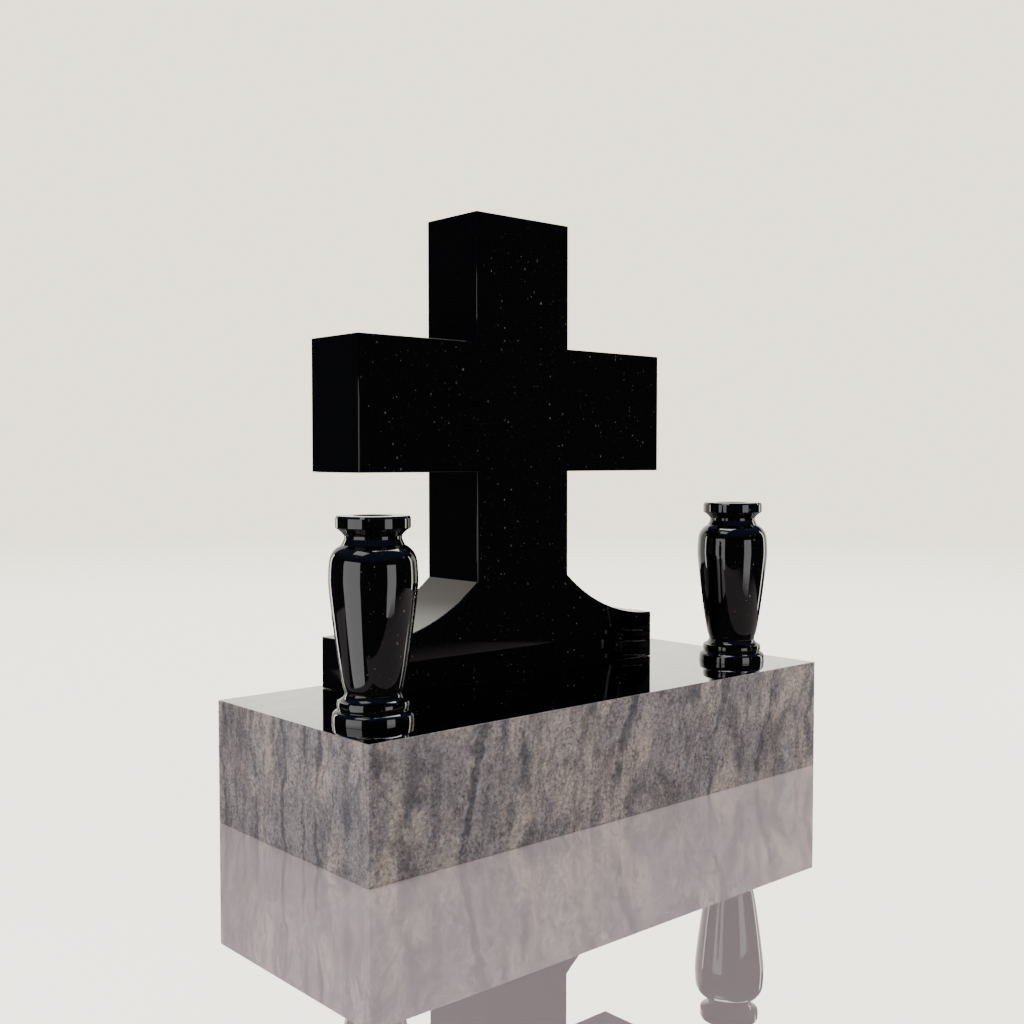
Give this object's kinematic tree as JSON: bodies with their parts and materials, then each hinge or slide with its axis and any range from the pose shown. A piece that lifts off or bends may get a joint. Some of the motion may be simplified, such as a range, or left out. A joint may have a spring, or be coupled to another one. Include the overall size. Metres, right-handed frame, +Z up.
{
  "type": "latin cross headstone with base and two vases",
  "caption": "Upright memorial with a plain latin cross on a coved foot, standing on a rectangular granite base with a turned, bored flower vase on either side.",
  "frame": {"origin": "centre of the base's underside", "axes": "+X along the length of the base, +Y from the front of the cross to its back, +Z up"},
  "size_m": [1.04, 0.4214, 1.0143],
  "materials": {
    "veined_granite": "grey granite with blue-grey and dark wavy veins, sides sawn and honed, top polished",
    "black_granite": "black granite with sparse bronze and white flecks, mirror polished"
  },
  "bodies": {
    "root": {"base": "veined_granite", "cross": "black_granite", "vase_left": "black_granite", "vase_right": "black_granite"}
  },
  "joints": []
}
